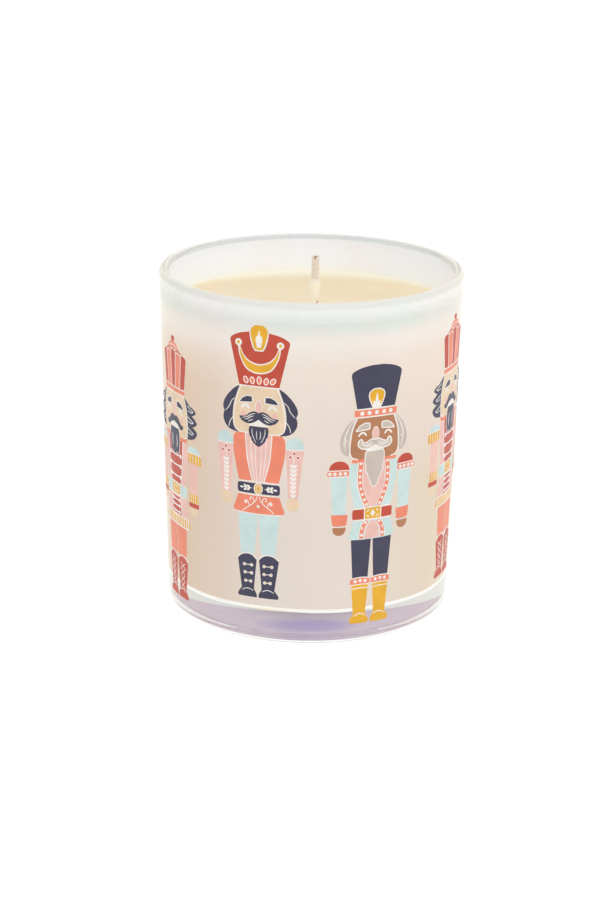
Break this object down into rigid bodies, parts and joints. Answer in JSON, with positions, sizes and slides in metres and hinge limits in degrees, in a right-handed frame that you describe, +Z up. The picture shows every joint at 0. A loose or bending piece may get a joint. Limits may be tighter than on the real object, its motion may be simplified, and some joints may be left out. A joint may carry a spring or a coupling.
{
  "type": "jar candle",
  "caption": "Poured wax candle in a pearl-lined straight-sided glass tumbler, with a ring of flat toy-soldier nutcracker figures printed round its wall.",
  "frame": {"origin": "centre of the foot ring, on the surface the candle stands on", "axes": "+Z up along the axis of the glass; -Y faces the front, where a figure with a red shako and a figure with a navy shako stand side by side; +X is to the right seen from the front"},
  "size_m": [0.08, 0.08, 0.095],
  "materials": {
    "glass": "clear, fire-polished rim",
    "pearl": "thin translucent pearl lacquer inside the glass",
    "wax": "smooth cream wax with a soft sheen",
    "wick_cotton": "braided cotton",
    "wick_paper": "brown twisted paper",
    "wick_wax": "cream wax",
    "tab_metal": "tinned",
    "sticker_foam": "white foam",
    "label_paper": "plain lilac paper",
    "ink_white_base": "white screen ink",
    "ink_navy": "navy screen ink",
    "ink_red": "red screen ink",
    "ink_coral": "coral screen ink",
    "ink_pink": "pale pink screen ink",
    "ink_mint": "pale mint screen ink",
    "ink_gold": "golden yellow screen ink",
    "ink_tan": "tan screen ink",
    "ink_brown": "brown screen ink",
    "ink_grey": "warm grey screen ink",
    "ink_white_lines": "white screen ink"
  },
  "bodies": {
    "root": {"glass_tumbler": "glass", "pearl_lining": "pearl", "wax_fill": "wax", "wick_braid": "wick_cotton", "wick_core": "wick_paper", "wick_wax_coat": "wick_wax", "wick_tab": "tab_metal", "wick_sticker": "sticker_foam", "base_label": "label_paper", "ink_white_base": "ink_white_base", "ink_navy": "ink_navy", "ink_red": "ink_red", "ink_coral": "ink_coral", "ink_pink": "ink_pink", "ink_mint": "ink_mint", "ink_gold": "ink_gold", "ink_tan": "ink_tan", "ink_brown": "ink_brown", "ink_grey": "ink_grey", "ink_white_lines": "ink_white_lines"}
  },
  "joints": []
}
